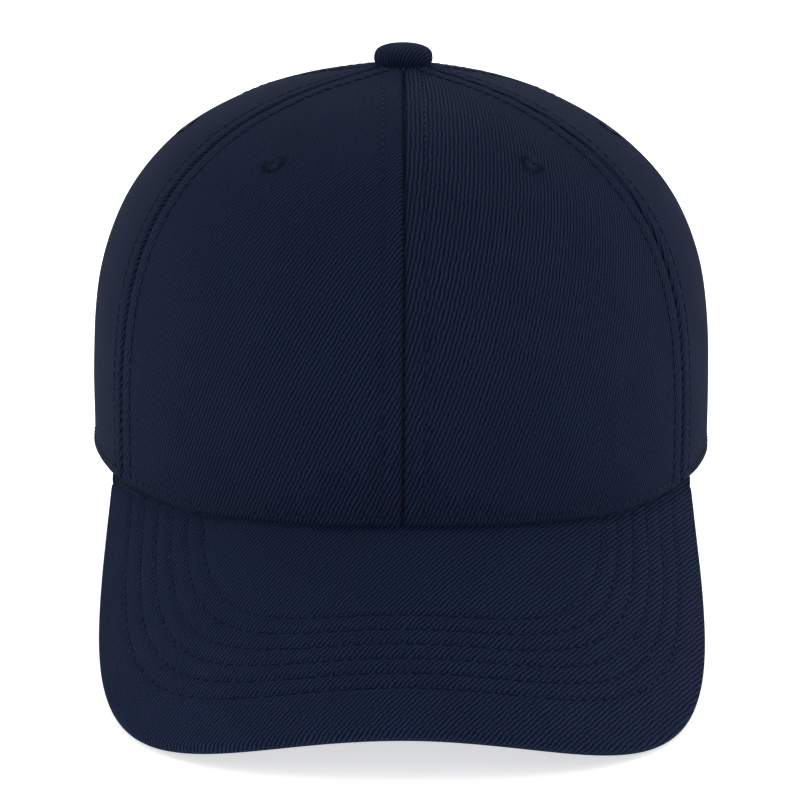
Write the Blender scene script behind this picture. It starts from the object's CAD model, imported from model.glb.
"""Finishes a baseball cap: cloth, visor, thread, button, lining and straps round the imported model."""

import math

import bmesh
import bpy
import numpy as np
from bpy.props import FloatProperty, FloatVectorProperty, IntProperty, PointerProperty
from mathutils import Matrix, Vector, noise


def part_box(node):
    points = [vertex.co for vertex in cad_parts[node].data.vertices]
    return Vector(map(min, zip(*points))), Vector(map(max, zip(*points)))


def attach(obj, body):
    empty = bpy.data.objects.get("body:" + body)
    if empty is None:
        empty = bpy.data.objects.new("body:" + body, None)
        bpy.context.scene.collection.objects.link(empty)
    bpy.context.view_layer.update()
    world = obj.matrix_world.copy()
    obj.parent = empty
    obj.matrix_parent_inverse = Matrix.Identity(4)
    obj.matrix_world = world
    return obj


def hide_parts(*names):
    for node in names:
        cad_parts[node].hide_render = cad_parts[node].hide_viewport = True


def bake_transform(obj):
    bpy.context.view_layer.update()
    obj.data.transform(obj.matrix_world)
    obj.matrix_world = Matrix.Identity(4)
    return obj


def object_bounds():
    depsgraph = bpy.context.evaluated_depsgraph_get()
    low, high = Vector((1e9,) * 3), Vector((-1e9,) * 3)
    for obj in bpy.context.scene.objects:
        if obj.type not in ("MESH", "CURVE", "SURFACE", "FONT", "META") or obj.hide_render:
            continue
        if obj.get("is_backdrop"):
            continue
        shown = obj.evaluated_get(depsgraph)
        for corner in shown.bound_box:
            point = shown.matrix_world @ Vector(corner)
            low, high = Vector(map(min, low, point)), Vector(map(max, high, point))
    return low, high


bl_info = {
    "name": "Baseball Cap",
    "version": (1, 0, 0),
    "blender": (4, 5, 0),
    "location": "View3D > Sidebar > Cap",
    "description": "Builds the cloth, thread and trim of a six-panel baseball cap",
    "category": "Object",
}

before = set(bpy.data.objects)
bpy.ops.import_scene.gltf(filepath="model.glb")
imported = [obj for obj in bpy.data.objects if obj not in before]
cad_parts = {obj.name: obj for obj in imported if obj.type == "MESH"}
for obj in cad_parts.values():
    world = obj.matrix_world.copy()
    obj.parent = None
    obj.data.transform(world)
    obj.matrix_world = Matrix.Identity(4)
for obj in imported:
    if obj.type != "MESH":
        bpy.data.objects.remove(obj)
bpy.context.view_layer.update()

# Sizes in metres. The crown's come from the frame, and the bends are those of its upright sections.
MM = 0.001
HALF_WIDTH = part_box("side_left_panel")[1].x
HALF_DEPTH = -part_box("front_left_panel")[0].y
CROWN_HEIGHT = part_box("side_left_panel")[1].z
FRONT_BEND = np.array([3.3, 2.1])
SIDE_BEND = np.array([3.8, 1.87])
REAR_BEND = np.array([3.6, 1.83])
PANEL_ANGLE = 60.0
APEX_REACH = 3.0 * MM
BUTTON_RISE = 1.6 * MM
HEM_GAP = 0.3 * MM
# Places where a worn crown leans out or in: x, z, how wide, how tall and how far.
LEANS = (
    (-55 * MM, 85 * MM, 30 * MM, 25 * MM, 0.6 * MM),
    (58 * MM, 88 * MM, 30 * MM, 28 * MM, -0.8 * MM),
)
SIDES = (("left", 1), ("right", -1))
PANEL_MIDDLES = {"front": 30.0, "side": 90.0, "rear": 150.0}

# The visor is a flat pattern wrapped on a cylinder that slopes down from the front seam.
VISOR_LENGTH = 70.2 * MM
VISOR_HALF_WIDTH = 89.8 * MM
VISOR_CENTRE = -38.0 * MM
VISOR_POWER = 3.55
VISOR_RADIUS = 122.0 * MM
VISOR_SLOPE = math.radians(26.5)
VISOR_RISE = 4.5 * MM
VISOR_HALF_ANGLE = 66.0
VISOR_THICKNESS = 3.5 * MM
VISOR_TUCK = 1.6 * MM
VISOR_END = 3.3 * MM
VISOR_RIB_ANGLE = 52.0
AHEAD = np.array([0.0, -math.cos(VISOR_SLOPE), -math.sin(VISOR_SLOPE)])
ABOVE = np.array([0.0, -math.sin(VISOR_SLOPE), math.cos(VISOR_SLOPE)])

# The back opening and the straps.
OPENING_HALF_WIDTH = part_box("rear_opening_binding")[1].x
OPENING_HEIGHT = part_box("rear_opening_binding")[1].z
OPENING_SHOULDER = 12.0 * MM
SEAM_START = OPENING_HEIGHT + 1.5 * MM
STRAP_WIDTH = 24 * MM
STRAP_THICKNESS = 1.0 * MM
STRAP_TIP = 7 * MM
STRAP_INSET = 2.2 * MM
# Each strap's first and last x, and its jog towards the head past the hinge.
STRAPS = {"outer": (55 * MM, -26.2 * MM, 0.0), "inner": (-55 * MM, 22.7 * MM, 2.1 * MM)}
PAD_WIDTH = 20 * MM
PAD_THICKNESS = 0.35 * MM
PAD_TIP = 5 * MM

# The stage.
PAPER_GLOW = 0.62
SKY_STRENGTH = 0.68
TOP_LIGHT_WATTS = 3.6
SIDE_LIGHT_WATTS = 1.6
CAMERA_LENS = 123.8
CAMERA_DISTANCE = 0.797
CAMERA_RAISED = math.radians(12.478)
CAMERA_TURNED = math.radians(-0.383)
CAMERA_TIP = (math.radians(-3.04), math.radians(0.055), math.radians(0.368))


def smooth(value, low, high):
    """0 below low, 1 above high, and a smooth step between."""
    share = np.clip((value - low) / (high - low), 0, 1)
    return share * share * (3 - 2 * share)


def ridge(distance, width):
    """A rounded bump, 1 at no distance and nearly 0 past twice the width."""
    return np.exp(-((distance / width) ** 2))


def waves(points, scale, seed):
    """Slow random waves between about -1 and 1 at each point."""
    shift = Vector((seed * 7.1, seed * 3.7, seed * 1.3))
    flat = points.reshape(-1, 3) * scale
    values = [noise.noise(Vector(p) + shift) for p in flat]
    return np.array(values).reshape(points.shape[:-1])


def arc_length(points):
    """How far along a path each of its points is."""
    return np.concatenate([[0], np.cumsum(np.linalg.norm(np.diff(points, axis=0), axis=1))])


def unit(vectors):
    """Vectors made one long."""
    return vectors / np.maximum(np.linalg.norm(vectors, axis=-1, keepdims=True), 1e-12)


# Crown: where its cloth lies.


def hem_vector(azimuth):
    """The point of the hem's oval at each azimuth in degrees, 0 at the front and 90 at +X."""
    angle = np.radians(azimuth)
    return HALF_WIDTH * np.sin(angle), -HALF_DEPTH * np.cos(angle)


def narrowing(azimuth, height):
    """The share of the hem's reach that is left at each azimuth and height."""
    cosine = np.cos(np.radians(azimuth))[..., None]
    bend = SIDE_BEND + (np.where(cosine > 0, FRONT_BEND, REAR_BEND) - SIDE_BEND) * cosine**2
    level = np.clip(height / CROWN_HEIGHT, 0, 1)
    return (1 - level ** bend[..., 0]) ** (1 / bend[..., 1])


def crown_point(azimuth, height):
    """Points of the crown's bare surface."""
    azimuth, height = np.broadcast_arrays(np.asarray(azimuth, float), np.asarray(height, float))
    x, y = hem_vector(azimuth)
    share = narrowing(azimuth, height)
    return np.stack([x * share, y * share, height], -1)


def crown_normal(azimuth, height):
    """Outward normals of the crown's bare surface."""
    step = 0.15 * MM
    height = np.clip(height, step, CROWN_HEIGHT * 0.99995 - step)
    across = crown_point(azimuth + 0.1, height) - crown_point(azimuth - 0.1, height)
    along = crown_point(azimuth, height + step) - crown_point(azimuth, height - step)
    normal = np.cross(across, along)
    return normal / np.linalg.norm(normal, axis=-1, keepdims=True)


def bare_crown(azimuth, height):
    """Points and outward normals of the crown's bare surface."""
    return crown_point(azimuth, height), crown_normal(azimuth, height)


def visor_point(across, ahead, depth=0.0):
    """Points of the visor at places on its flat pattern, some depth below its top surface."""
    radius = VISOR_RADIUS - depth
    turn = np.asarray(across, float) / VISOR_RADIUS
    root = np.array([0.0, -HALF_DEPTH, VISOR_RISE])
    side = (radius * np.sin(turn))[..., None] * np.array([1.0, 0.0, 0.0])
    up = (radius * np.cos(turn) - VISOR_RADIUS)[..., None] * ABOVE
    return root + np.asarray(ahead, float)[..., None] * AHEAD + side + up


def visor_normal(across):
    """Upward normals of the visor at places across its flat pattern."""
    turn = np.asarray(across, float) / VISOR_RADIUS
    return np.sin(turn)[..., None] * np.array([1.0, 0.0, 0.0]) + np.cos(turn)[..., None] * ABOVE


def hem_height(azimuth):
    """The crown's lower edge: on the visor at the front, and on the hem plane elsewhere."""
    x, y = hem_vector(azimuth)
    drop = VISOR_RADIUS - np.sqrt(VISOR_RADIUS**2 - np.clip(np.abs(x), 0, VISOR_RADIUS) ** 2)
    on_visor = VISOR_RISE + ((y + HALF_DEPTH) * math.sin(VISOR_SLOPE) - drop) / math.cos(VISOR_SLOPE)
    turned = np.abs((azimuth + 180) % 360 - 180)
    leaves = smooth(turned, VISOR_HALF_ANGLE - 4, VISOR_HALF_ANGLE + 3)
    return np.maximum(on_visor, HEM_GAP) * (1 - leaves)


def opening_height(azimuth):
    """The arch's edge at each azimuth, or nothing beside it."""
    height = np.full(np.shape(azimuth), OPENING_HEIGHT / 2)
    for _ in range(12):
        x = np.abs(crown_point(azimuth, height)[..., 0]) / OPENING_HALF_WIDTH
        rise = (OPENING_HEIGHT - OPENING_SHOULDER) * np.sqrt(np.clip(1 - x**2, 0, 1))
        height = np.where(x < 1, OPENING_SHOULDER + rise, 0.0)
    behind = np.cos(np.radians(azimuth)) < 0
    return np.where(behind, height, 0.0)


def climb(azimuth, shares, low):
    """Heights that divide the way up the crown, from low to the apex, in shares of its length."""
    levels = CROWN_HEIGHT * np.sin(np.linspace(0, np.pi / 2, 500)) ** 0.5
    heights = np.empty(np.shape(azimuth) + (len(shares),))
    for index, (turn, start) in enumerate(zip(azimuth, low)):
        points = crown_point(np.full(levels.shape, turn), levels)
        reach = np.hypot(points[:, 0], points[:, 1])
        length = arc_length(points)
        first = np.interp(start, levels, length)
        last = np.interp(-APEX_REACH, -reach, length)
        heights[index] = np.interp(first + (last - first) * shares, length, levels)
    return heights


def arch_distance(points):
    """How far each point at the back is from the opening's edge."""
    turn = np.linspace(0, np.pi / 2, 90)
    x = np.concatenate([np.full(20, OPENING_HALF_WIDTH), OPENING_HALF_WIDTH * np.cos(turn)])
    rise = (OPENING_HEIGHT - OPENING_SHOULDER) * np.sin(turn)
    z = np.concatenate([np.linspace(0, OPENING_SHOULDER, 20), OPENING_SHOULDER + rise])
    away = np.full(points.shape[:-1], 1.0)
    behind = (points[..., 1] > 0) & (points[..., 2] < OPENING_HEIGHT + 0.02)
    near = points[behind]
    gap = np.hypot(np.abs(near[:, :1]) - x, near[:, 2:] - z)
    away[behind] = gap.min(1)
    return away


def seam_distance(azimuth, height):
    """How far each point is from its nearest seam, along the level."""
    nearest = np.round(azimuth / PANEL_ANGLE) * PANEL_ANGLE
    gap = crown_point(azimuth, height) - crown_point(nearest, height)
    return np.linalg.norm(gap, axis=-1)


def puckers(distance, height, pitch):
    """Small dents between stitches, along a row and close to it."""
    return ridge(distance, 1.3 * MM) * (0.5 + 0.5 * np.cos(2 * np.pi * height / pitch))


def crown_skin(azimuth, height):
    """Points and normals of the sewn cloth: sunk seams, raised allowances, a soft unevenness."""
    cap = bpy.context.scene.cap_settings
    azimuth, height = np.broadcast_arrays(np.asarray(azimuth, float), np.asarray(height, float))
    base, normal = bare_crown(azimuth, height)
    away = seam_distance(azimuth, height)
    up = height - hem_height(azimuth)
    low = smooth(up, 0, 6 * MM)
    reach = np.hypot(base[..., 0], base[..., 1])
    proud = -cap.seam_depth * ridge(away, 0.5 * MM) * smooth(reach, 6 * MM, 13 * MM)
    allowance = smooth(away, 0.6 * MM, 1.8 * MM) * (1 - smooth(away, 4.6 * MM, 7.5 * MM))
    proud = proud + 0.3 * MM * allowance * low
    row = away - cap.topstitch_offset
    proud = proud - 0.22 * MM * ridge(row, 0.7 * MM) * low
    proud = proud - 0.07 * MM * puckers(row, height, cap.stitch_pitch) * low
    hem_row = up - cap.hem_stitch_height
    turn = np.radians(azimuth) * HALF_WIDTH
    proud = proud - 0.25 * MM * ridge(hem_row, 0.8 * MM)
    proud = proud - 0.06 * MM * puckers(hem_row, turn, cap.stitch_pitch)
    proud = proud - 1.4 * MM * ridge(up, 0.8 * MM) + 0.45 * MM * ridge(up - 2.3 * MM, 1.2 * MM)
    slow = waves(base, 24.0, 1) * 0.45 * MM + waves(base, 60.0, 2) * 0.16 * MM
    proud = proud + slow * smooth(away, 0, 14 * MM)
    for x, z, wide, tall, push in LEANS:
        proud = proud + push * ridge(base[..., 0] - x, wide) * ridge(height - z, tall)
    away = arch_distance(base)
    proud = proud * smooth(away, 5 * MM, 12 * MM) - 0.1 * MM * smooth(-away, -6 * MM, -5 * MM)
    proud = proud + BUTTON_RISE * ridge(reach, 13 * MM)
    return base + proud[..., None] * normal, normal


# Visor: where its cloth lies.


def visor_edge(across, inset):
    """How far ahead the visor's edge is at places across it, drawn in by inset."""
    half = VISOR_HALF_WIDTH - inset
    share = np.clip(1 - np.abs(across / half) ** VISOR_POWER, 0, 1) ** (1 / VISOR_POWER)
    return VISOR_CENTRE + (VISOR_LENGTH - inset - VISOR_CENTRE) * share


def visor_root(across, inset, depth=0.0):
    """How far ahead the visor meets the hem's oval, drawn in by inset, at places across it."""
    turn = across / VISOR_RADIUS
    x = (VISOR_RADIUS - depth) * np.sin(turn)
    y = -(HALF_DEPTH - inset) * np.sqrt(np.clip(1 - (x / (HALF_WIDTH - inset)) ** 2, 0, 1))
    lift = (VISOR_RADIUS - depth) * np.cos(turn) - VISOR_RADIUS
    return (-HALF_DEPTH - lift * math.sin(VISOR_SLOPE) - y) / math.cos(VISOR_SLOPE)


def row_reach(row):
    """How far to the side and ahead a visor row lies, for a row's number."""
    cap = bpy.context.scene.cap_settings
    side = VISOR_HALF_WIDTH - cap.visor_side_inset - cap.visor_stitch_rows_pitch * row
    return side, VISOR_LENGTH - cap.visor_front_inset - cap.visor_stitch_rows_pitch * row


def stitch_outline(row):
    """The flat path of one visor row, from the left corner round to the right."""
    side, front = row_reach(row)
    turn = np.radians(np.linspace(-90, 90, 400))
    across = side * np.sign(turn) * np.abs(np.sin(turn)) ** (2 / VISOR_POWER)
    ahead = VISOR_CENTRE + (front - VISOR_CENTRE) * np.abs(np.cos(turn)) ** (2 / VISOR_POWER)
    across = np.concatenate([[-side] * 30, across, [side] * 30])
    back = np.linspace(VISOR_CENTRE - 0.035, VISOR_CENTRE, 31)[:-1]
    ahead = np.concatenate([back, ahead, back[::-1]])
    keep = ahead > visor_root(across, -1.2 * MM)
    return across[keep], ahead[keep]


def row_number(across, ahead):
    """Which visor row each place lies on, as a number that grows inwards from the edge."""
    low, high = np.full(np.shape(across), -4.0), np.full(np.shape(across), 12.0)
    for _ in range(24):
        middle = (low + high) / 2
        side, front = row_reach(middle)
        forward = np.clip((ahead - VISOR_CENTRE) / np.maximum(front - VISOR_CENTRE, 1e-4), 0, None)
        inside = np.abs(across / np.maximum(side, 1e-4)) ** VISOR_POWER + forward**VISOR_POWER < 1
        low, high = np.where(inside, middle, low), np.where(inside, high, middle)
    return (low + high) / 2


def row_distance(across, ahead):
    """How far each place of the visor is from its nearest row of stitching."""
    cap = bpy.context.scene.cap_settings
    number = row_number(across, ahead)
    row = np.clip(np.round(number), 0, cap.visor_stitch_rows - 1)
    return (number - row) * cap.visor_stitch_rows_pitch


def visor_skin(across, ahead):
    """Points and normals of the visor's top cloth: stitched channels and a soft unevenness."""
    cap = bpy.context.scene.cap_settings
    across, ahead = np.broadcast_arrays(np.asarray(across, float), np.asarray(ahead, float))
    base = visor_point(across, ahead)
    normal = visor_normal(across)
    away = row_distance(across, ahead)
    proud = -0.36 * MM * ridge(away, 0.65 * MM)
    proud = proud - 0.1 * MM * puckers(away, across + ahead, cap.stitch_pitch)
    proud = proud + 0.12 * MM * waves(base, 45.0, 3)
    seam = ahead - visor_root(across, 0.0)
    proud = proud - 0.35 * MM * ridge(seam, 1.1 * MM)
    return base + proud[..., None] * normal, normal


# Meshes and shared helpers.


def add_object(name, data):
    """A new object in the scene, at the origin."""
    made = bpy.data.objects.new(name, data)
    bpy.context.scene.collection.objects.link(made)
    return made


def to_mesh(name, vertices, faces, weave=None):
    """A smooth mesh object from arrays, with its weave coordinates in millimetres as a UV map."""
    mesh = bpy.data.meshes.new(name)
    mesh.from_pydata([tuple(v) for v in vertices], [], [tuple(f) for f in faces])
    mesh.update()
    if weave is not None:
        layer = mesh.uv_layers.new(name="Weave")
        corner = np.empty(len(mesh.loops), np.int32)
        mesh.loops.foreach_get("vertex_index", corner)
        layer.data.foreach_set("uv", np.asarray(weave, np.float32)[corner].ravel())
    mesh.shade_smooth()
    return add_object(name, mesh)


def grid_faces(rows, columns, start=0, flip=False, closed=False):
    """Quads of a grid whose points run row by row."""
    faces = []
    last = columns if closed else columns - 1
    for row in range(rows - 1):
        for column in range(last):
            a = start + row * columns + column
            b = start + row * columns + (column + 1) % columns
            quad = (a, b, b + columns, a + columns)
            faces.append(quad[::-1] if flip else quad)
    return faces


def shell(name, outer, inner, weave):
    """A closed cloth shell between two grids of points, outer side first."""
    rows, columns = outer.shape[:2]
    count = rows * columns
    vertices = np.concatenate([outer.reshape(-1, 3), inner.reshape(-1, 3)])
    faces = grid_faces(rows, columns) + grid_faces(rows, columns, count, flip=True)
    ring = [(0, c) for c in range(columns)] + [(r, columns - 1) for r in range(1, rows)]
    ring += [(rows - 1, c) for c in range(columns - 2, -1, -1)]
    ring += [(r, 0) for r in range(rows - 2, 0, -1)]
    ring = [r * columns + c for r, c in ring]
    for here, after in zip(ring, ring[1:] + ring[:1]):
        faces.append((after, here, here + count, after + count))
    return to_mesh(name, vertices, faces, np.concatenate([weave.reshape(-1, 2)] * 2))


def strip(name, path, side, out, section):
    """A swept strip: section points (side, out) carried along a path of points, with flat ends."""
    rows, count = len(path), len(section)
    section = np.asarray(section, float)
    points = path[:, None] + section[None, :, :1] * side[:, None]
    points = points + section[None, :, 1:] * out[:, None]
    length = arc_length(path)
    weave = np.stack(np.broadcast_arrays(arc_length(section)[None, :], length[:, None]), -1) / MM
    faces = grid_faces(rows, count, closed=True)
    faces += [tuple(range(count))[::-1], tuple(range((rows - 1) * count, rows * count))]
    piece = to_mesh(name, points.reshape(-1, 3), faces, weave.reshape(-1, 2))
    turn_out(piece)
    return piece


def turn_out(piece):
    """Makes a closed mesh's faces point outwards."""
    work = bmesh.new()
    work.from_mesh(piece.data)
    bmesh.ops.recalc_face_normals(work, faces=work.faces)
    work.to_mesh(piece.data)
    work.free()


def finish_piece(piece, body, slot, material, *nodes):
    """Gives a piece its material, body and slot, and hides the model's nodes that it stands for."""
    piece.data.materials.clear()
    piece.data.materials.append(finish(material))
    if body:
        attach(piece, body)
    if nodes:
        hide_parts(*nodes)
    return piece


def band_section(width, thickness):
    """A flat band's cross-section with rounded edges, standing on the middle of the path."""
    radius = thickness / 2
    half = width / 2 - radius
    turns = np.linspace(-np.pi / 2, np.pi / 2, 5)
    right = [(half + radius * math.cos(t), radius + radius * math.sin(t)) for t in turns]
    left = [(-half - radius * math.cos(t), radius - radius * math.sin(t)) for t in turns]
    top = [(x, thickness) for x in np.linspace(half, -half, 6)[1:-1]]
    bottom = [(x, 0.0) for x in np.linspace(-half, half, 6)[1:-1]]
    return right + top + left + bottom


# Finishes: shader groups that put out colours, masks and heights, and the materials that use them.


class Nodes:
    """Short calls for adding and wiring the nodes of one tree."""

    def __init__(self, tree):
        self.tree = tree
        tree.nodes.clear()

    def add(self, kind, inputs=None, **settings):
        """Adds a node, sets its properties, and sets or links its inputs."""
        node = self.tree.nodes.new(kind)
        for key, value in settings.items():
            setattr(node, key, value)
        for key, value in (inputs or {}).items():
            if isinstance(value, bpy.types.NodeSocket):
                self.tree.links.new(value, node.inputs[key])
            else:
                node.inputs[key].default_value = value
        return node

    def speckle(self, scale, detail):
        """A noise over the piece's own place, whose scale is in blotches for each metre."""
        place = self.add("ShaderNodeTexCoord").outputs["Object"]
        noise_inputs = {"Vector": place, "Scale": scale, "Detail": detail}
        return self.add("ShaderNodeTexNoise", noise_inputs).outputs[0]

    def math(self, operation, first, second=0.0):
        """One Math node's output."""
        return self.add("ShaderNodeMath", {0: first, 1: second}, operation=operation).outputs[0]

    def cloth_noise(self, weave, scale, detail, roughness=0.5):
        """A noise over the cloth's weave coordinates, whose scale is in blotches for each millimetre."""
        inputs = {"Vector": weave, "Scale": scale, "Detail": detail, "Roughness": roughness}
        return self.add("ShaderNodeTexNoise", inputs).outputs[0]

    def sawtooth(self, value):
        """A wave that is 1 at whole numbers and 0 half way between."""
        doubled = self.math("MULTIPLY", self.math("FRACT", value), 2.0)
        return self.math("ABSOLUTE", self.math("SUBTRACT", doubled, 1.0))

    def between(self, value, low, high, out_low=0.0, out_high=1.0):
        """A clamped smooth range's output."""
        ends = {0: value, 1: low, 2: high, 3: out_low, 4: out_high}
        return self.add("ShaderNodeMapRange", ends, interpolation_type="SMOOTHSTEP").outputs[0]

    def mix(self, share, first, second, blend_type="MIX"):
        """One colour Mix node's output."""
        inputs = {0: share, 6: first, 7: second}
        return self.add("ShaderNodeMix", inputs, data_type="RGBA", blend_type=blend_type).outputs[2]


def open_tree(name, tree_type, inputs, outputs):
    """An empty node tree with named sockets, as its Nodes and its two end nodes."""
    tree = bpy.data.node_groups.new(name, tree_type)
    nodes = Nodes(tree)
    for label, kind, value in inputs:
        kind = "NodeSocket" + kind
        socket = tree.interface.new_socket(name=label, in_out="INPUT", socket_type=kind)
        if value is not None:
            socket.default_value = value
    for label, kind in outputs:
        tree.interface.new_socket(name=label, in_out="OUTPUT", socket_type="NodeSocket" + kind)
    return nodes, nodes.add("NodeGroupInput"), nodes.add("NodeGroupOutput")


def twill_group():
    """Diagonal twill ribs of twisted yarn: a height, and how much of the light the grooves lose."""
    nodes, given, result = open_tree(
        "Twill Weave", "ShaderNodeTree",
        [("Weave", "Vector", None), ("Rib Spacing", "Float", 1.1), ("Rib Angle", "Float", 1.15),
         ("Float Length", "Float", 2.2)],
        [("Height", "Float"), ("Rib", "Float"), ("Patch", "Float")],
    )
    weave = given.outputs["Weave"]
    offset = nodes.math("SUBTRACT", nodes.cloth_noise(weave, 0.35, 4.0), 0.5)
    place = nodes.add("ShaderNodeSeparateXYZ", {0: weave})
    sine = nodes.math("SINE", given.outputs["Rib Angle"])
    cosine = nodes.math("COSINE", given.outputs["Rib Angle"])
    x, y = place.outputs[0], place.outputs[1]
    over = nodes.math("SUBTRACT", nodes.math("MULTIPLY", x, sine), nodes.math("MULTIPLY", y, cosine))
    along = nodes.math("ADD", nodes.math("MULTIPLY", x, cosine), nodes.math("MULTIPLY", y, sine))
    number = nodes.math("DIVIDE", nodes.math("ADD", over, offset), given.outputs["Rib Spacing"])
    rib = nodes.math("SUBTRACT", 1.0, nodes.math("POWER", nodes.sawtooth(number), 2.2))
    stagger = nodes.math("MULTIPLY", nodes.math("FLOOR", number), 0.37)
    beat = nodes.math("ADD", nodes.math("DIVIDE", along, given.outputs["Float Length"]), stagger)
    floats = nodes.between(nodes.sawtooth(beat), 0.6, 1.0, 1.0, 0.84)
    fuzz = nodes.cloth_noise(weave, 2.6, 5.0, 0.75)
    body = nodes.math("MULTIPLY", rib, floats)
    lint = nodes.math("MULTIPLY", nodes.math("SUBTRACT", fuzz, 0.5), 1.9)
    height = nodes.math("ADD", body, lint)
    nodes.tree.links.new(height, result.inputs["Height"])
    grain = nodes.between(fuzz, 0.3, 0.7, 0.35, 1.0)
    nodes.tree.links.new(nodes.math("MULTIPLY", body, grain), result.inputs["Rib"])
    nodes.tree.links.new(nodes.cloth_noise(weave, 0.05, 5.0), result.inputs["Patch"])


def plain_group():
    """Plain weave: yarns that pass over and under each other, as a height."""
    nodes, given, result = open_tree(
        "Plain Weave", "ShaderNodeTree",
        [("Weave", "Vector", None), ("Yarn Spacing", "Float", 0.6)],
        [("Height", "Float"), ("Patch", "Float")],
    )
    weave = given.outputs["Weave"]
    place = nodes.add("ShaderNodeSeparateXYZ", {0: weave})
    turns = nodes.math("DIVIDE", math.pi, given.outputs["Yarn Spacing"])
    across = nodes.math("SINE", nodes.math("MULTIPLY", place.outputs[0], turns))
    along = nodes.math("SINE", nodes.math("MULTIPLY", place.outputs[1], turns))
    crossing = nodes.math("MULTIPLY", across, along)
    yarn = nodes.math("SUBTRACT", 1.0, nodes.math("MULTIPLY", nodes.math("ABSOLUTE", across), 0.4))
    fuzzy = nodes.math("MULTIPLY", yarn, nodes.cloth_noise(weave, 3.0, 3.0))
    height = nodes.math("ADD", nodes.math("MULTIPLY", crossing, 0.5), fuzzy)
    nodes.tree.links.new(height, result.inputs["Height"])
    nodes.tree.links.new(nodes.cloth_noise(weave, 0.08, 4.0), result.inputs["Patch"])


def new_material(name, roughness, sheen=0.0, sheen_tint=(1, 1, 1, 1), metallic=0.0):
    """Makes a material with its Principled BSDF, and gives its Nodes and that shader."""
    material = bpy.data.materials.new(name)
    material.use_nodes = True
    nodes = Nodes(material.node_tree)
    shader = nodes.add("ShaderNodeBsdfPrincipled")
    output = nodes.add("ShaderNodeOutputMaterial")
    nodes.tree.links.new(shader.outputs[0], output.inputs[0])
    shader.inputs["Roughness"].default_value = roughness
    shader.inputs["Metallic"].default_value = metallic
    shader.inputs["Sheen Weight"].default_value = sheen
    shader.inputs["Sheen Roughness"].default_value = 0.45
    shader.inputs["Sheen Tint"].default_value = sheen_tint
    shader.inputs["Specular IOR Level"].default_value = 0.03
    return nodes, shader


def bump(nodes, shader, height, distance):
    """Feeds a height to the shader's normal, in metres of relief."""
    node = nodes.add("ShaderNodeBump", {"Height": height, "Distance": distance, "Strength": 1.0})
    nodes.tree.links.new(node.outputs[0], shader.inputs["Normal"])


def tone(color, factor):
    """A colour made lighter or darker, with its alpha."""
    return tuple(min(1.0, c * factor) for c in color[:3]) + (1.0,)


def woven_material(name, group, sizes, color, shades, relief, dullest, **surface):
    """Woven cloth: worn yarn tops are lighter than the gaps, and the dye is a little uneven."""
    nodes, shader = new_material(name, **surface)
    uv = nodes.add("ShaderNodeUVMap", uv_map="Weave")
    weave = nodes.add(
        "ShaderNodeGroup", {"Weave": uv.outputs[0], **sizes}, node_tree=bpy.data.node_groups[group]
    )
    output, low, high, dark, light = shades
    worn = nodes.between(weave.outputs[output], low, high)
    base = nodes.mix(worn, tone(color, dark), tone(color, light))
    patch = nodes.between(weave.outputs["Patch"], 0.3, 0.7)
    uneven = nodes.mix(patch, (dullest, dullest, dullest, 1.0), (1.0, 1.0, 1.0, 1.0))
    nodes.tree.links.new(nodes.mix(1.0, base, uneven, "MULTIPLY"), shader.inputs["Base Color"])
    bump(nodes, shader, weave.outputs["Height"], relief)


def twill_material(name, color, degrees, relief):
    """Brushed cotton twill."""
    spacing = bpy.context.scene.cap_settings.rib_spacing / MM
    woven_material(
        name, "Twill Weave", {"Rib Spacing": spacing, "Rib Angle": math.radians(degrees)}, color,
        ("Rib", 0.05, 0.85, 0.25, 2.1), relief, 0.9,
        roughness=0.92, sheen=0.02, sheen_tint=(0.55, 0.66, 1.0, 1.0),
    )


def plain_material(name, color, spacing, relief, sheen=0.06):
    """Plain woven tape or cotton."""
    woven_material(
        name, "Plain Weave", {"Yarn Spacing": spacing}, color,
        ("Height", 0.0, 1.0, 0.6, 1.3), relief, 0.88,
        roughness=0.9, sheen=sheen, sheen_tint=(0.7, 0.78, 1.0, 1.0),
    )


def speckled_material(name, color, fine, slow, relief, tones, roughness, sheen, tint=(1, 1, 1, 1)):
    """Thread, matted fibre, moulded plastic or buckram, from a fine and a slow noise."""
    nodes, shader = new_material(name, roughness, sheen, tint)
    grain = nodes.speckle(*fine)
    shade = nodes.math("MULTIPLY", nodes.math("ADD", grain, nodes.speckle(*slow)), 0.5)
    base = nodes.mix(nodes.between(shade, 0.35, 0.65), tone(color, tones[0]), tone(color, tones[1]))
    nodes.tree.links.new(base, shader.inputs["Base Color"])
    bump(nodes, shader, grain, relief)


def felt_material(name, color, scale, relief, roughness=0.95):
    """Matted fibre, moulded plastic or buckram."""
    speckled_material(name, color, (scale, 6.0), (scale / 20, 3.0), relief, (0.8, 1.1), roughness, 0.1)


def metal_material():
    """Pressed steel with fine drawing marks and a dull film."""
    nodes, shader = new_material("Pressed Steel", 0.4, metallic=1.0)
    film = nodes.speckle(500.0, 5.0)
    base = nodes.mix(film, (0.42, 0.42, 0.43, 1.0), (0.62, 0.62, 0.63, 1.0))
    nodes.tree.links.new(base, shader.inputs["Base Color"])
    nodes.tree.links.new(nodes.between(film, 0.3, 0.7, 0.3, 0.5), shader.inputs["Roughness"])
    bump(nodes, shader, film, 0.03 * MM)


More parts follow.
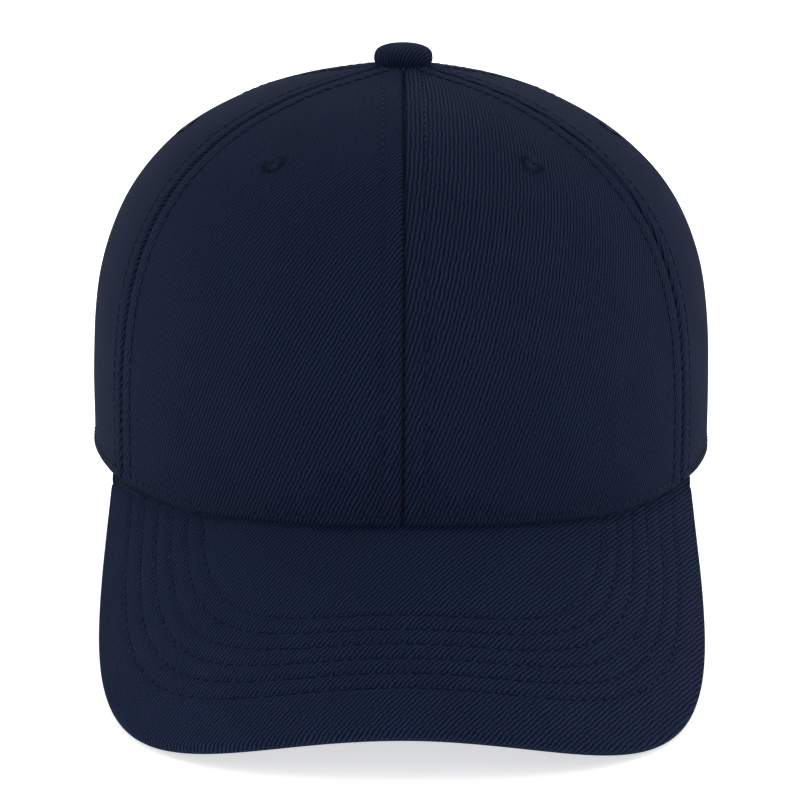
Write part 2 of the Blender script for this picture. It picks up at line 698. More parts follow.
def make_materials():
    """Builds the shader groups and every material, once."""
    cap = bpy.context.scene.cap_settings
    twill_group()
    plain_group()
    navy = tuple(cap.cloth_color)
    twill_material("Crown Twill", navy, cap.rib_angle, 0.35 * MM)
    twill_material("Visor Twill", tone(navy, 1.15), VISOR_RIB_ANGLE, 0.3 * MM)
    plain_material("Seam Tape", tone(navy, 0.8), 0.7, 0.18 * MM)
    plain_material("Sweatband Cotton", tone(navy, 0.85), 0.5, 0.12 * MM)
    plain_material("Label Satin", (0.78, 0.78, 0.76), 0.25, 0.04 * MM, 0.12)
    plain_material("Loop Pile", tone(navy, 0.9), 0.9, 0.4 * MM, 0.24)
    speckled_material(
        "Stitching Thread", tuple(cap.thread_color), (2600.0, 2.0), (160.0, 2.0), 0.12 * MM,
        (0.75, 1.25), 0.62, 0.06, (0.6, 0.7, 1.0, 1.0),
    )
    felt_material("Buckram", (0.72, 0.71, 0.67), 900.0, 0.2 * MM)
    felt_material("Band Felt", (0.66, 0.65, 0.62), 1200.0, 0.2 * MM)
    felt_material("Board Plastic", (0.6, 0.6, 0.58), 400.0, 0.04 * MM, 0.5)
    felt_material("Hook Nylon", tone(navy, 0.6), 1500.0, 0.2 * MM, 0.5)
    metal_material()


def finish(name):
    """A material by its name."""
    return bpy.data.materials[name]


# Stitches: a Geometry Nodes tree that lays short threads one after another along a path.


def lay_beads(nodes, given, result, points, bead, turn, size, smoothed=True):
    """Puts a turned and sized bead on each point, as plain mesh in the tree's material."""
    last = nodes.add(
        "GeometryNodeInstanceOnPoints",
        {"Points": points, "Instance": bead, "Rotation": turn, "Scale": size},
    )
    last = nodes.add("GeometryNodeRealizeInstances", {"Geometry": last.outputs[0]})
    if smoothed:
        last = nodes.add("GeometryNodeSetShadeSmooth", {"Geometry": last.outputs[0]})
    last = nodes.add(
        "GeometryNodeSetMaterial", {"Geometry": last.outputs[0], "Material": given.outputs["Material"]}
    )
    nodes.tree.links.new(last.outputs[0], result.inputs["Geometry"])


def stitch_tree():
    """Threads laid end to end along a path, each turned to the path and to the cloth under it."""
    nodes, given, result = open_tree(
        "Lay Stitches", "GeometryNodeTree",
        [("Geometry", "Geometry", None), ("Cloth", "Object", None), ("Pitch", "Float", 0.0032),
         ("Length", "Float", 0.0027), ("Thickness", "Float", 0.0006), ("Material", "Material", None),
         ("Seed", "Int", 3)],
        [("Geometry", "Geometry")],
    )
    points = nodes.add(
        "GeometryNodeCurveToPoints",
        {"Curve": given.outputs["Geometry"], "Length": given.outputs["Pitch"]},
        mode="LENGTH",
    )
    cloth = nodes.add(
        "GeometryNodeObjectInfo", {"Object": given.outputs["Cloth"]}, transform_space="ORIGINAL"
    )
    normal = nodes.add("GeometryNodeInputNormal")
    facing = nodes.add(
        "GeometryNodeSampleNearestSurface",
        {"Mesh": cloth.outputs["Geometry"], "Value": normal.outputs[0]},
        data_type="FLOAT_VECTOR",
    )
    turn = nodes.add(
        "FunctionNodeAxesToRotation",
        {"Primary Axis": points.outputs["Tangent"], "Secondary Axis": facing.outputs["Value"]},
        primary_axis="X", secondary_axis="Z",
    )
    bead = nodes.add("GeometryNodeMeshUVSphere", {"Segments": 8, "Rings": 6, "Radius": 0.5})
    size = nodes.add(
        "ShaderNodeCombineXYZ",
        {0: given.outputs["Length"], 1: given.outputs["Thickness"], 2: given.outputs["Thickness"]},
    )
    uneven = nodes.add(
        "FunctionNodeRandomValue", {2: 0.9, 3: 1.1, "Seed": given.outputs["Seed"]}, data_type="FLOAT"
    )
    scale = nodes.add(
        "ShaderNodeVectorMath", {0: size.outputs[0], 3: uneven.outputs[1]}, operation="SCALE"
    )
    spots = points.outputs["Points"]
    lay_beads(nodes, given, result, spots, bead.outputs["Mesh"], turn.outputs[0], scale.outputs[0])


def set_inputs(modifier, **values):
    """Sets a Geometry Nodes modifier's inputs by the identifiers of their sockets."""
    for item in modifier.node_group.interface.items_tree:
        if item.item_type == "SOCKET" and item.in_out == "INPUT" and item.name in values:
            modifier[item.identifier] = values[item.name]


def plain_mesh(piece, name):
    """The piece's evaluated shape as a plain mesh object of that name, in the piece's stead."""
    bpy.context.view_layer.update()
    evaluated = piece.evaluated_get(bpy.context.evaluated_depsgraph_get())
    shape = bpy.data.meshes.new_from_object(evaluated)
    bpy.data.objects.remove(piece)
    shape.name = name
    return add_object(name, shape)


def lay_stitches(name, paths, cloth):
    """Lays stitches along some paths, each an array of points on or just over the cloth."""
    cap = bpy.context.scene.cap_settings
    curve = bpy.data.curves.new(name + "_path", "CURVE")
    curve.dimensions = "3D"
    for path in paths:
        spline = curve.splines.new("POLY")
        spline.points.add(len(path) - 1)
        spline.points.foreach_set("co", np.concatenate([path, np.ones((len(path), 1))], 1).ravel())
    guide = add_object(name + "_path", curve)
    modifier = guide.modifiers.new("Stitches", "NODES")
    modifier.node_group = bpy.data.node_groups["Lay Stitches"]
    set_inputs(
        modifier, Cloth=cloth, Pitch=cap.stitch_pitch, Length=cap.stitch_length,
        Thickness=cap.thread_thickness, Material=finish("Stitching Thread"), Seed=len(paths),
    )
    return plain_mesh(guide, name)


# Crown pieces.


def panel_columns(middle):
    """Azimuths across a panel, closer together at its seams and beside the arch."""
    edge = np.array([0.0, 0.12, 0.24, 0.36, 0.5, 0.65, 0.85, 1.1, 1.4])
    half = PANEL_ANGLE / 2
    columns = np.concatenate([edge - half, np.arange(-half + 1.9, half - 1.8, 0.52), half - edge])
    columns = columns + middle
    if abs(middle) > 120:
        corner = 180 - math.degrees(math.asin(OPENING_HALF_WIDTH / HALF_WIDTH))
        beside = corner + np.array([-0.3, -0.01, 0.01, 0.1, 0.25, 0.45, 0.7, 1.0, 1.4, 1.9])
        columns = np.concatenate([columns, math.copysign(1, middle) * beside])
    return np.unique(np.round(columns, 4))


def crown_panel(name, middle):
    """One gore of the crown, as a closed shell of cloth."""
    cap = bpy.context.scene.cap_settings
    azimuth = panel_columns(middle)
    low = hem_height(azimuth)
    if abs(middle) > 120:
        low = np.maximum(low, opening_height(azimuth))
    shares = np.concatenate([[0, 0.002, 0.004, 0.007, 0.011], np.linspace(0.016, 1, 150)])
    height = climb(azimuth, shares, low).T
    turned = np.broadcast_to(azimuth, height.shape)
    outer, normal = crown_skin(turned, height)
    base = crown_point(turned, height)
    proud = np.sum((outer - base) * normal, -1)
    thick = np.minimum(proud - 0.4 * MM, -cap.cloth_thickness)
    inner = base + thick[..., None] * normal
    return shell(name, outer, inner, gore_weave(turned, height, middle))


def drill(piece, middle, axis):
    """Cuts an eyelet's round hole through a piece."""
    radius = bpy.context.scene.cap_settings.eyelet_hole / 2
    cutter = bmesh.new()
    place = Vector(axis).to_track_quat("Z", "Y").to_matrix().to_4x4()
    place.translation = Vector(middle)
    bmesh.ops.create_cone(
        cutter, cap_ends=True, segments=24, radius1=radius, radius2=radius, depth=12 * MM, matrix=place
    )
    tool = add_object("drill", bpy.data.meshes.new("drill"))
    cutter.to_mesh(tool.data)
    cutter.free()
    cut = piece.modifiers.new("Holes", "BOOLEAN")
    cut.object = tool
    cut.solver = "EXACT"
    name = piece.name
    piece.name = name + "_whole"
    made = plain_mesh(piece, name)
    bpy.data.objects.remove(tool)
    return made


def eyelet_place(place, side):
    """The middle and the outward axis of an eyelet, from the frame."""
    low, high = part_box(f"eyelet_{place}_{side}")
    middle = (low + high) / 2
    height = middle.z
    azimuth = math.degrees(math.atan2(middle.x / HALF_WIDTH, -middle.y / HALF_DEPTH))
    for _ in range(4):
        point, normal = crown_skin(np.array([azimuth]), np.array([height]))
        height += (low.z + high.z) / 2 + 0.6 * MM - point[0, 2]
    return point[0], normal[0]


def seam_path(azimuth, aside, inset, low=None, stop=0.0):
    """A path up the crown beside a seam, some way inside or outside the cloth."""
    turn = np.array([azimuth], float)
    start = hem_height(turn) if low is None else np.array([low])
    height = climb(turn, np.linspace(0, 1, 160), start)[0]
    degree = crown_point(azimuth + 0.5, height) - crown_point(azimuth - 0.5, height)
    turned = azimuth + aside / np.maximum(np.linalg.norm(degree, axis=-1), 1e-5)
    point, normal = crown_skin(turned, height)
    if inset > 0:
        point, normal = bare_crown(turned, height)
    reach = np.hypot(point[:, 0], point[:, 1])
    keep = reach > stop
    return (point - inset * normal)[keep], normal[keep]


def tape(name, azimuths, low, stop):
    """A flat tape inside the crown, up one seam, or up one and down the next."""
    cap = bpy.context.scene.cap_settings
    paths = [seam_path(turn, 0.0, 2.2 * MM, start, stop) for turn, start in zip(azimuths, low)]
    path, normal = paths[0]
    if len(paths) > 1:
        path = np.concatenate([path, paths[1][0][::-1]])
        normal = np.concatenate([normal, paths[1][1][::-1]])
    side = unit(np.cross(unit(np.gradient(path, axis=0)), normal))
    return strip(name, path, side, -normal, band_section(cap.tape_width, 0.55 * MM))


# Visor pieces.


def visor_columns(half):
    """Places across the visor, closer together at its sides, where its edge turns."""
    middle = np.linspace(-0.93 * half, 0.93 * half, 181)
    turn = np.radians(np.linspace(58, 90, 30))
    side = half * np.sin(turn) ** (2 / VISOR_POWER)
    side = side[side > 0.935 * half]
    return np.concatenate([-side[::-1], middle, side])


def visor_top():
    """The top cover: a stitched sheet that rolls round the visor's edge."""
    rim = VISOR_THICKNESS / 2
    across = visor_columns(VISOR_HALF_WIDTH - rim)
    low, high = visor_root(across, VISOR_TUCK), visor_edge(across, rim)
    shares = np.concatenate([np.linspace(0, 0.9, 126), np.linspace(0.9, 1, 22)[1:]])
    ahead = low + (high - low) * shares[:, None]
    wide = np.broadcast_to(across, ahead.shape)
    skin, normal = visor_skin(wide, ahead)
    rows, columns = ahead.shape
    vertices = [skin.reshape(-1, 3)]
    weave = [np.stack([wide, -ahead], -1).reshape(-1, 2) / MM]
    faces = grid_faces(rows, columns, flip=True)
    ring = [(r, 0) for r in range(rows)] + [(rows - 1, c) for c in range(1, columns)]
    ring += [(r, columns - 1) for r in range(rows - 2, -1, -1)]
    rings, lines = np.array(ring).T
    path, lift = skin[rings, lines], normal[rings, lines]
    flat = np.stack([wide[rings, lines], -ahead[rings, lines]], -1)
    out = unit(np.cross(unit(np.gradient(path, axis=0)), lift))
    outward = np.sign(np.sum(out * (path - skin.mean((0, 1))), -1, keepdims=True))
    out = out * outward
    before = [r * columns + c for r, c in ring]
    start = rows * columns
    for step, turn in enumerate(np.radians(np.linspace(0, 168, 13)[1:])):
        fold = path + out * rim * math.sin(turn) - lift * rim * (1 - math.cos(turn))
        vertices.append(fold)
        spread = np.stack([out[:, 0], out[:, 1]], -1) * rim * turn
        weave.append((flat + spread) / MM)
        after = [start + step * len(ring) + k for k in range(len(ring))]
        for k in range(len(ring) - 1):
            faces.append((before[k + 1], before[k], after[k], after[k + 1]))
        before = after
    piece = to_mesh("visor_top_cloth", np.concatenate(vertices), faces, np.concatenate(weave))
    return thicken(piece, 0.7 * MM)


def thicken(piece, thickness):
    """Gives an open sheet its thickness, behind the face it shows."""
    wall = piece.modifiers.new("Thickness", "SOLIDIFY")
    wall.thickness = thickness
    wall.offset = -1.0
    name = piece.name
    piece.name = name + "_sheet"
    return plain_mesh(piece, name)


def visor_under():
    """The under cover, whose edge is caught under the roll of the top cover."""
    inset = 1.0 * MM
    across = visor_columns(VISOR_HALF_WIDTH - inset)
    low, high = visor_root(across, VISOR_END, VISOR_THICKNESS), visor_edge(across, inset)
    rows = np.concatenate([np.zeros(6), np.linspace(0, 1, 110)[1:]])
    depth = np.concatenate([np.linspace(0.3 * MM, VISOR_THICKNESS, 6), np.full(109, VISOR_THICKNESS)])
    ahead = low + (high - low) * rows[:, None]
    wide = np.broadcast_to(across, ahead.shape)
    sunk = 0.2 * MM * ridge(row_distance(wide, ahead), 0.8 * MM)
    skin = visor_point(wide, ahead, depth[:, None]) + sunk[..., None] * visor_normal(wide)
    weave = np.stack([-wide, -ahead], -1).reshape(-1, 2) / MM
    piece = to_mesh("visor_under_cloth", skin.reshape(-1, 3), grid_faces(*ahead.shape), weave)
    return thicken(piece, 0.6 * MM)


def visor_plate():
    """The visor's board, which ends just inside the covers."""
    across = visor_columns(VISOR_HALF_WIDTH - 2.4 * MM)
    low = np.maximum(visor_root(across, 0.5 * MM), visor_root(across, 0.5 * MM, VISOR_THICKNESS))
    high = visor_edge(across, 2.4 * MM)
    ahead = low + (high - low) * np.linspace(0, 1, 70)[:, None]
    wide = np.broadcast_to(across, ahead.shape)
    top, bottom = visor_point(wide, ahead, 0.85 * MM), visor_point(wide, ahead, 2.7 * MM)
    piece = shell("visor_board_plate", top, bottom, np.stack([wide, ahead], -1) / MM)
    turn_out(piece)
    return piece


# Button and eyelets.


def button_cloth():
    """The button's cloth: a dome that is gathered under its rim."""
    low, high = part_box("button_cover")
    low.z, high.z = low.z + 0.5 * MM, high.z + 1.0 * MM
    radius = (high.x - low.x) / 2
    tall = high.z - low.z
    turns = np.radians(np.linspace(0, 360, 97)[:-1])
    profile = []
    for step in np.linspace(0, 1, 22):
        angle = step * math.pi / 2
        profile.append((math.sin(angle) ** 0.9, math.cos(angle) ** 0.62 if step < 1 else 0.0))
    profile = [(r, z * 0.72 + 0.28) for r, z in profile]
    profile += [(0.99, 0.2), (0.955, 0.13), (0.97, 0.07), (0.95, 0.01), (0.8, -0.03), (0.55, -0.03)]
    rings, weave = [], []
    steps = np.diff(np.array([(radius * r, tall * z) for r, z in profile]), axis=0)
    for (reach, level), arc in zip(profile[1:], np.cumsum(np.hypot(*steps.T)) / MM):
        weave.append(arc * np.stack([np.cos(turns), np.sin(turns)], -1))
        fold = 1 + 0.012 * np.sin(turns * 26 + 1.3 * np.sin(turns * 3)) * smooth(reach, 0.6, 1.0)
        rings.append(np.stack([
            radius * reach * fold * np.cos(turns),
            radius * reach * fold * np.sin(turns),
            np.full(turns.shape, low.z + tall * level),
        ], -1))
    points = np.concatenate(rings)
    top = len(points)
    points = np.concatenate([points, [[0, 0, high.z], [0, 0, low.z - tall * 0.03]]])
    count = len(turns)
    faces = grid_faces(len(rings), count, flip=True, closed=True)
    for k in range(count):
        after = (k + 1) % count
        faces.append((top, k, after))
        faces.append((top + 1, (len(rings) - 1) * count + after, (len(rings) - 1) * count + k))
    weave = np.concatenate(weave + [np.zeros((2, 2))])
    piece = to_mesh("button_cloth", points, faces, weave)
    turn_out(piece)
    return piece


def eyelet_tree():
    """A ring of overcast threads, each a bead that points at the hole."""
    nodes, given, result = open_tree(
        "Overcast Eyelet", "GeometryNodeTree",
        [("Geometry", "Geometry", None), ("Radius", "Float", 0.002), ("Length", "Float", 0.0023),
         ("Thickness", "Float", 0.0006), ("Threads", "Int", 22), ("Material", "Material", None),
         ("Seed", "Int", 1)],
        [("Geometry", "Geometry")],
    )
    ring = nodes.add(
        "GeometryNodeCurvePrimitiveCircle", {"Resolution": 96, "Radius": given.outputs["Radius"]}
    )
    points = nodes.add(
        "GeometryNodeCurveToPoints", {"Curve": ring.outputs["Curve"], "Count": given.outputs["Threads"]}
    )
    outward = nodes.add("GeometryNodeInputPosition")
    turn = nodes.add(
        "FunctionNodeAxesToRotation",
        {"Primary Axis": outward.outputs[0], "Secondary Axis": (0.0, 0.0, 1.0)},
        primary_axis="X", secondary_axis="Z",
    )
    bead = nodes.add("GeometryNodeMeshUVSphere", {"Segments": 8, "Rings": 6, "Radius": 0.5})
    uneven = nodes.add(
        "FunctionNodeRandomValue", {2: 0.72, 3: 1.3, "Seed": given.outputs["Seed"]}, data_type="FLOAT"
    )
    length = nodes.math("MULTIPLY", given.outputs["Length"], uneven.outputs[1])
    size = nodes.add(
        "ShaderNodeCombineXYZ",
        {0: length, 1: given.outputs["Thickness"], 2: given.outputs["Thickness"]},
    )
    spots = points.outputs["Points"]
    lay_beads(nodes, given, result, spots, bead.outputs["Mesh"], turn.outputs[0], size.outputs[0])


def sewn_eyelet(name, middle, axis, seed):
    """One overcast eyelet on the cloth: long threads round the hole, over a raised cord."""
    cap = bpy.context.scene.cap_settings
    seat = add_object(name + "_seat", bpy.data.meshes.new(name + "_seat"))
    modifier = seat.modifiers.new("Threads", "NODES")
    modifier.node_group = bpy.data.node_groups["Overcast Eyelet"]
    inner, outer = cap.eyelet_hole / 4, cap.eyelet_width / 2
    set_inputs(
        modifier, Radius=(inner + outer) / 2, Length=outer - inner, Threads=26,
        Thickness=cap.thread_thickness * 0.85, Material=finish("Stitching Thread"), Seed=seed,
    )
    piece = plain_mesh(seat, name)
    place = Vector(axis).to_track_quat("Z", "Y").to_matrix().to_4x4()
    place.translation = Vector(middle) + Vector(axis) * 0.12 * MM
    piece.data.transform(place)
    return piece


# Back opening and straps.


def on_crown(x, height):
    """The azimuth of the point of the crown's back that has that x and height."""
    azimuth = np.full(np.shape(x), 170.0)
    for _ in range(20):
        share = narrowing(azimuth, height)
        azimuth = 180 - np.degrees(np.arcsin(np.clip(np.abs(x) / (HALF_WIDTH * share), 0, 1)))
    return np.sign(x) * azimuth + (x == 0) * 180


def arch_path():
    """A path round the back opening's arch, with the crown's normals."""
    turn = np.linspace(0, math.pi, 120)
    x = np.concatenate([[1.0] * 12, np.cos(turn)[1:-1], [-1.0] * 12]) * OPENING_HALF_WIDTH
    side = np.linspace(HEM_GAP, OPENING_SHOULDER, 12)
    arch = OPENING_SHOULDER + (OPENING_HEIGHT - OPENING_SHOULDER) * np.sin(turn)[1:-1]
    height = np.concatenate([side, arch, side[::-1]])
    azimuth = np.where(
        x >= 0, on_crown(np.maximum(x, 1e-9), height), -on_crown(np.maximum(-x, 1e-9), height)
    )
    return bare_crown(azimuth, height)


def binding():
    """A folded tape that wraps the edge of the arch."""
    path, normal = arch_path()
    side = unit(np.cross(normal, unit(np.gradient(path, axis=0))))
    middle = np.array([0, path[:, 1].mean(), 0.02])
    side = side * np.sign(np.sum(side * (path - middle), -1, keepdims=True))
    fold = [
        (5.6, 0.12), (5.7, 0.4), (5.4, 0.6), (3.5, 0.66), (1.5, 0.68), (0.2, 0.64), (-0.7, 0.35),
        (-1.1, -0.2),
        (-1.1, -0.8), (-0.7, -1.35), (0.2, -1.62), (3.0, -1.66), (5.4, -1.6), (5.7, -1.35),
        (5.4, -1.12), (0.3, -1.1), (-0.3, -0.85), (-0.4, -0.3), (0.0, 0.1), (3.0, 0.14),
    ]
    return strip("opening_binding_tape", path, side, normal, np.array(fold) * MM), (path, normal, side)


def strap_path(first_x, last_x, inset, jog):
    """A level path along the back of the hem, with a jog towards the head just past its start."""
    x = first_x + (last_x - first_x) * (0.5 - 0.5 * np.cos(np.linspace(0, np.pi, 140)))
    turn = np.arcsin(x / HALF_WIDTH)
    hinge = math.copysign(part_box("closure_strap_outer")[1].x + 0.6 * MM, first_x)
    past = (hinge - x) * math.copysign(1, first_x)
    inward = inset + jog * smooth(past, 0.0, 8 * MM)
    low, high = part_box("closure_strap_outer")
    level = np.full(x.shape, (low.z + high.z) / 2)
    across, back = (HALF_WIDTH - inward) * np.sin(turn), (HALF_DEPTH - inward) * np.cos(turn)
    path = np.stack([across, back, level], -1)
    along = unit(np.gradient(path, axis=0))
    up = np.tile([0.0, 0.0, 1.0], (len(path), 1))
    out = unit(np.cross(along, up))
    out = out * np.sign(out[:, 1:2])
    return path, up, out


def rounded(path, radius, half, both):
    """How wide a strap is along its path, as a share, with a rounded tip at its end or at both."""
    length = arc_length(path)
    left = length[-1] - length
    if both:
        left = np.minimum(left, length)
    inside = np.clip(radius - left, 0, radius)
    return 1 - (radius - np.sqrt(np.maximum(radius**2 - inside**2, 0))) / half


def webbing(name, first_x, last_x, inset, jog, width, thickness, tip, both=False):
    """A strap or pad of woven cloth with rounded edges and tip."""
    path, up, out = strap_path(first_x, last_x, inset, jog)
    share = rounded(path, tip, width / 2, both)
    section = np.array(band_section(width, thickness))
    section[:, 1] -= thickness / 2
    return strip(name, path, up * share[:, None], out, section), (path, up, out, share)


def pad(node, inset):
    """The tape of a hook or loop pad, as long as its node."""
    low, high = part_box(node)
    return webbing(f"{node}_tape", high.x, low.x, inset, 0.0, PAD_WIDTH, PAD_THICKNESS, PAD_TIP, True)


def pad_hooks_tree():
    """Bristles on a pad: small leaning hooks, or the soft loops of a pile, spread over its face."""
    nodes, given, result = open_tree(
        "Pad Bristles", "GeometryNodeTree",
        [("Geometry", "Geometry", None), ("Spacing", "Float", 0.0009), ("Height", "Float", 0.0003),
         ("Thickness", "Float", 0.0002), ("Material", "Material", None), ("Seed", "Int", 5)],
        [("Geometry", "Geometry")],
    )
    area = nodes.math("MULTIPLY", given.outputs["Spacing"], given.outputs["Spacing"])
    spots = nodes.add(
        "GeometryNodeDistributePointsOnFaces",
        {"Mesh": given.outputs["Geometry"], "Density": nodes.math("DIVIDE", 1.0, area),
         "Seed": given.outputs["Seed"]},
    )
    stem = nodes.add("GeometryNodeMeshUVSphere", {"Segments": 5, "Rings": 4, "Radius": 0.5})
    size = nodes.add(
        "ShaderNodeCombineXYZ",
        {0: given.outputs["Thickness"], 1: given.outputs["Thickness"], 2: given.outputs["Height"]},
    )
    lean = nodes.add(
        "FunctionNodeRandomValue",
        {0: (-0.5, -0.5, 0.0), 1: (0.5, 0.5, 3.0), "Seed": given.outputs["Seed"]},
        data_type="FLOAT_VECTOR",
    )
    turned = nodes.add(
        "FunctionNodeRotateRotation",
        {0: spots.outputs["Rotation"], 1: lean.outputs[0]}, rotation_space="LOCAL",
    )
    lay_beads(
        nodes, given, result, spots.outputs["Points"], stem.outputs["Mesh"], turned.outputs[0],
        size.outputs[0], smoothed=False,
    )


def bristles(name, frame_of_pad, facing, spacing, height, thickness, material):
    """Hooks or pile over one face of a pad, within its stitched border."""
    path, up, out, share = frame_of_pad
    keep = share > 0.75
    path, up, out, share = path[keep], up[keep], out[keep], share[keep]
    across = np.linspace(-0.5, 0.5, 7) * (PAD_WIDTH - 2.6 * MM)
    points = path[:, None] + (across[None, :] * share[:, None])[..., None] * up[:, None]
    points = points + out[:, None] * facing
    seat = to_mesh(name + "_seat", points.reshape(-1, 3), grid_faces(*points.shape[:2]))
    modifier = seat.modifiers.new("Bristles", "NODES")
    modifier.node_group = bpy.data.node_groups["Pad Bristles"]
    set_inputs(
        modifier, Spacing=spacing, Height=height, Thickness=thickness, Material=finish(material), Seed=7
    )
    return plain_mesh(seat, name)


def border_path(frame_of_strap, inset, lift, width, first):
    """A stitch path round a strap's face, some way in from its edges and its tip."""
    path, up, out, share = frame_of_strap
    length = arc_length(path)
    keep = (length > first) & (length < length[-1] - inset)
    reach = share[keep] * width / 2 - inset
    over = path[keep] + lift * out[keep]
    above = over + reach[:, None] * up[keep]
    below = over - reach[:, None] * up[keep]
    tip = over[-1] + np.linspace(reach[-1], -reach[-1], 12)[1:-1, None] * up[keep][-1]
    return np.concatenate([above, tip, below[::-1]])


def gore_weave(turned, height, middle):
    """Weave coordinates of a panel: how far from its middle line, and how far up it."""
    gap = crown_point(turned, height) - crown_point(np.full(height.shape, middle), height)
    ladder = np.linspace(0, CROWN_HEIGHT, 400)
    rungs = crown_point(np.full(ladder.shape, middle), ladder)
    length = arc_length(rungs)
    across = np.linalg.norm(gap, axis=-1) * np.sign(turned - middle)
    return np.stack([across, np.interp(height, ladder, length)], -1) / MM


def stiffener(name, middle):
    """The stiff open-weave lining of one front panel."""
    azimuth = np.linspace(middle - 29.9, middle + 29.9, 60)
    height = climb(azimuth, np.linspace(0.03, 1, 70), hem_height(azimuth)).T
    turned = np.broadcast_to(azimuth, height.shape)
    base, normal = bare_crown(turned, height)
    weave = gore_weave(turned, height, middle)
    return shell(name, base - 1.35 * MM * normal, base - 1.75 * MM * normal, weave)


def guide_cloth():
    """A plain crown surface that the stitches take their facing from."""
    azimuth = np.linspace(-180, 180, 181)
    height = CROWN_HEIGHT * np.sin(np.linspace(0, 1.54, 90)) ** 0.6
    turned, height = np.meshgrid(azimuth, height)
    points = crown_point(turned, height)
    return to_mesh("guide_cloth", points.reshape(-1, 3), grid_faces(*height.shape))


def lining_shell(name, first, last, low, tall, near, far, columns=260, rows=44, lines=()):
    """A band inside the crown, between two depths behind the cloth, with sewn lines."""
    azimuth = np.linspace(first, last, columns)
    rise = low + tall * np.linspace(0, 1, rows)
    height = hem_height(azimuth)[None, :] + rise[:, None]
    turned = np.broadcast_to(azimuth, height.shape)
    base, normal = bare_crown(turned, height)
    sunk = sum(0.28 * MM * ridge(rise - low - line, 1.0 * MM) for line in lines) + 0 * rise
    puff = 0.12 * MM * waves(base, 50.0, 6) if lines else 0 * height
    depth = far - sunk[:, None] + puff
    across = np.radians(turned) * HALF_WIDTH
    weave = np.stack([across, np.broadcast_to(rise[:, None], height.shape)], -1) / MM
    fold = (near - 0.95 * MM) * (1 - smooth(rise - low, 0.2 * MM, 1.4 * MM)) if lines else 0 * rise
    behind = near - fold[:, None, None]
    return shell(name, base - behind * normal, base - depth[..., None] * normal, weave)


def sweatband():
    """The sweatband's face and core, its two rows of stitches, and the blank label."""
    end = 150.0
    band = lining_shell(
        "sweatband_face_cloth", -end, end, 0.1 * MM, 31.8 * MM, 3.65 * MM, 4.4 * MM,
        lines=(3 * MM, 27.5 * MM),
    )
    core = lining_shell(
        "sweatband_core_felt", -end + 0.8, end - 0.8, 1.8 * MM, 29 * MM, 2.9 * MM, 3.5 * MM, rows=12
    )
    paths = []
    for rise in (3.1 * MM, 27.6 * MM):
        azimuth = np.linspace(-end + 1, end - 1, 700)
        point, normal = bare_crown(azimuth, hem_height(azimuth) + rise)
        paths.append(point - 4.3 * MM * normal)
    thread = lay_stitches("sweatband_thread", paths, band)
    label = lining_shell("care_label_cloth", 118.0, 134.0, 3 * MM, 30 * MM, 4.62 * MM, 4.9 * MM, 40, 40)
    return band, core, thread, label


def stage_material(name, color, glow):
    """Matt paper for the floor and backdrop."""
    nodes, shader = new_material(name, 0.9)
    base = nodes.mix(nodes.speckle(40.0, 3.0), tone(color, 0.995), tone(color, 1.0))
    nodes.tree.links.new(base, shader.inputs["Base Color"])
    shader.inputs["Emission Color"].default_value = (1.0, 1.0, 1.0, 1.0)
    shader.inputs["Emission Strength"].default_value = glow


def softbox(name, place, aim, width, height, power):
    """A rectangular soft light that points at a place."""
    data = bpy.data.lights.new(name, "AREA")
    data.shape = "RECTANGLE"
    data.size, data.size_y, data.energy = width, height, power
    light = add_object(name, data)
    light.location = place
    light.rotation_euler = (Vector(aim) - Vector(place)).to_track_quat("-Z", "Y").to_euler()


def set_stage():
    """A white floor that curves up behind, a white sky, soft lights and the camera."""
    scene = bpy.context.scene
    scene.view_settings.view_transform = "Standard"
    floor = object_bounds()[0][2] - 0.3 * MM
    turns = np.linspace(0, math.pi / 2, 14)
    bend = [(1.2 + 0.6 * math.sin(turn), 0.6 - 0.6 * math.cos(turn)) for turn in turns]
    profile = [(-4.0, 0.0)] + bend + [(1.8, 4.0)]
    points = [(x, y, floor + z) for y, z in profile for x in (-5.0, 5.0)]
    backdrop = to_mesh("backdrop", points, grid_faces(len(profile), 2, flip=True))
    stage_material("Paper", (0.92, 0.92, 0.92), PAPER_GLOW)
    backdrop.data.materials.append(finish("Paper"))
    backdrop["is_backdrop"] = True
    world = bpy.data.worlds.new("Studio")
    world.use_nodes = True
    sky = world.node_tree.nodes["Background"]
    sky.inputs["Color"].default_value = (1.0, 1.0, 1.0, 1.0)
    sky.inputs["Strength"].default_value = SKY_STRENGTH
    scene.world = world
    middle = (0.0, 0.0, 0.04)
    softbox("Top Light", (0.0, -0.25, 1.4), middle, 1.3, 1.3, TOP_LIGHT_WATTS)
    softbox("Left Light", (-1.1, 0.1, 0.5), middle, 0.7, 1.1, SIDE_LIGHT_WATTS)
    softbox("Right Light", (1.1, 0.1, 0.5), middle, 0.7, 1.1, SIDE_LIGHT_WATTS)
    target = Vector((0.0, 0.0, 0.055))
    level = math.cos(CAMERA_RAISED)
    away = Vector(
        (math.sin(CAMERA_TURNED) * level, -math.cos(CAMERA_TURNED) * level, math.sin(CAMERA_RAISED))
    )
    data = bpy.data.cameras.new("Camera")
    data.lens, data.sensor_width = CAMERA_LENS, 36.0
    camera = add_object("Camera", data)
    aim = (-away).to_track_quat("-Z", "Y").to_matrix()
    tip, swing, roll = (Matrix.Rotation(turn, 3, axis) for turn, axis in zip(CAMERA_TIP, "XYZ"))
    aim = aim @ swing @ tip @ roll
    camera.matrix_world = Matrix.Translation(target + CAMERA_DISTANCE * away) @ aim.to_4x4()
    scene.camera = camera


# Settings, operators and the panel.


def distance(name, description, default, least, most):
    """A setting in metres."""
    return FloatProperty(
        name=name, description=description, subtype="DISTANCE", unit="LENGTH",
        default=default, min=least, max=most,
    )


